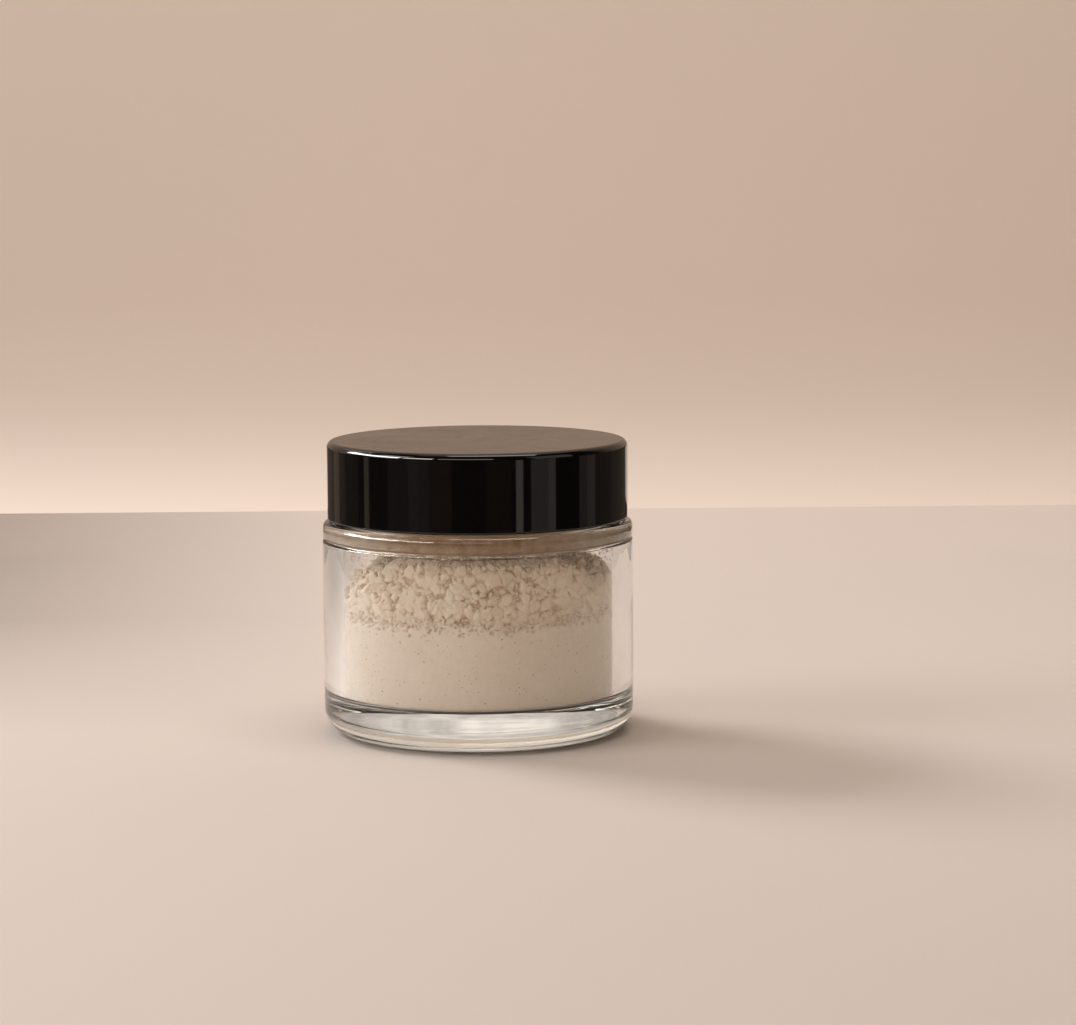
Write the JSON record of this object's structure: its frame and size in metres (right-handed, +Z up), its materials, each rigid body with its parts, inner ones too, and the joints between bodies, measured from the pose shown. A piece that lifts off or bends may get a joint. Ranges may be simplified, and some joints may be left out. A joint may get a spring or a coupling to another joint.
{
  "type": "powder jar",
  "caption": "Clear glass jar with a thick base, filled with loose clumped powder and closed by a glossy black screw cap.",
  "frame": {"origin": "middle of the ring that the jar stands on", "axes": "+Z up along the common axis of the glass, its neck, the threads and the cap; +X and +Y are free, as the outside is round"},
  "size_m": [0.062, 0.062, 0.0585],
  "materials": {
    "clear_glass": "polished",
    "packed_powder": "matte",
    "clumped_powder": "matte",
    "gloss_black": "gloss",
    "insert_black": "satin",
    "liner_foam": "matte"
  },
  "bodies": {
    "jar": {"glass_jar": "clear_glass", "powder_bed": "packed_powder", "powder_clumps": "clumped_powder"},
    "liner": {"cap_liner": "liner_foam"},
    "cap": {"cap_shell": "gloss_black", "cap_insert": "insert_black"}
  },
  "joints": [
    {"name": "cap_turn", "type": "hinge", "parent": "liner", "child": "cap", "pos_m": [0, 0, 0.05], "axis": [0, 0, 1], "range_deg": [0, 1800]},
    {"name": "cap_lift", "type": "slide", "parent": "jar", "child": "liner", "axis": [0, 0, 1], "range_m": [0, 0.0212]}
  ],
  "couplings": [
    {"joint": "cap_lift", "follows": "cap_turn", "m_per_rad": 0.0006737}
  ]
}
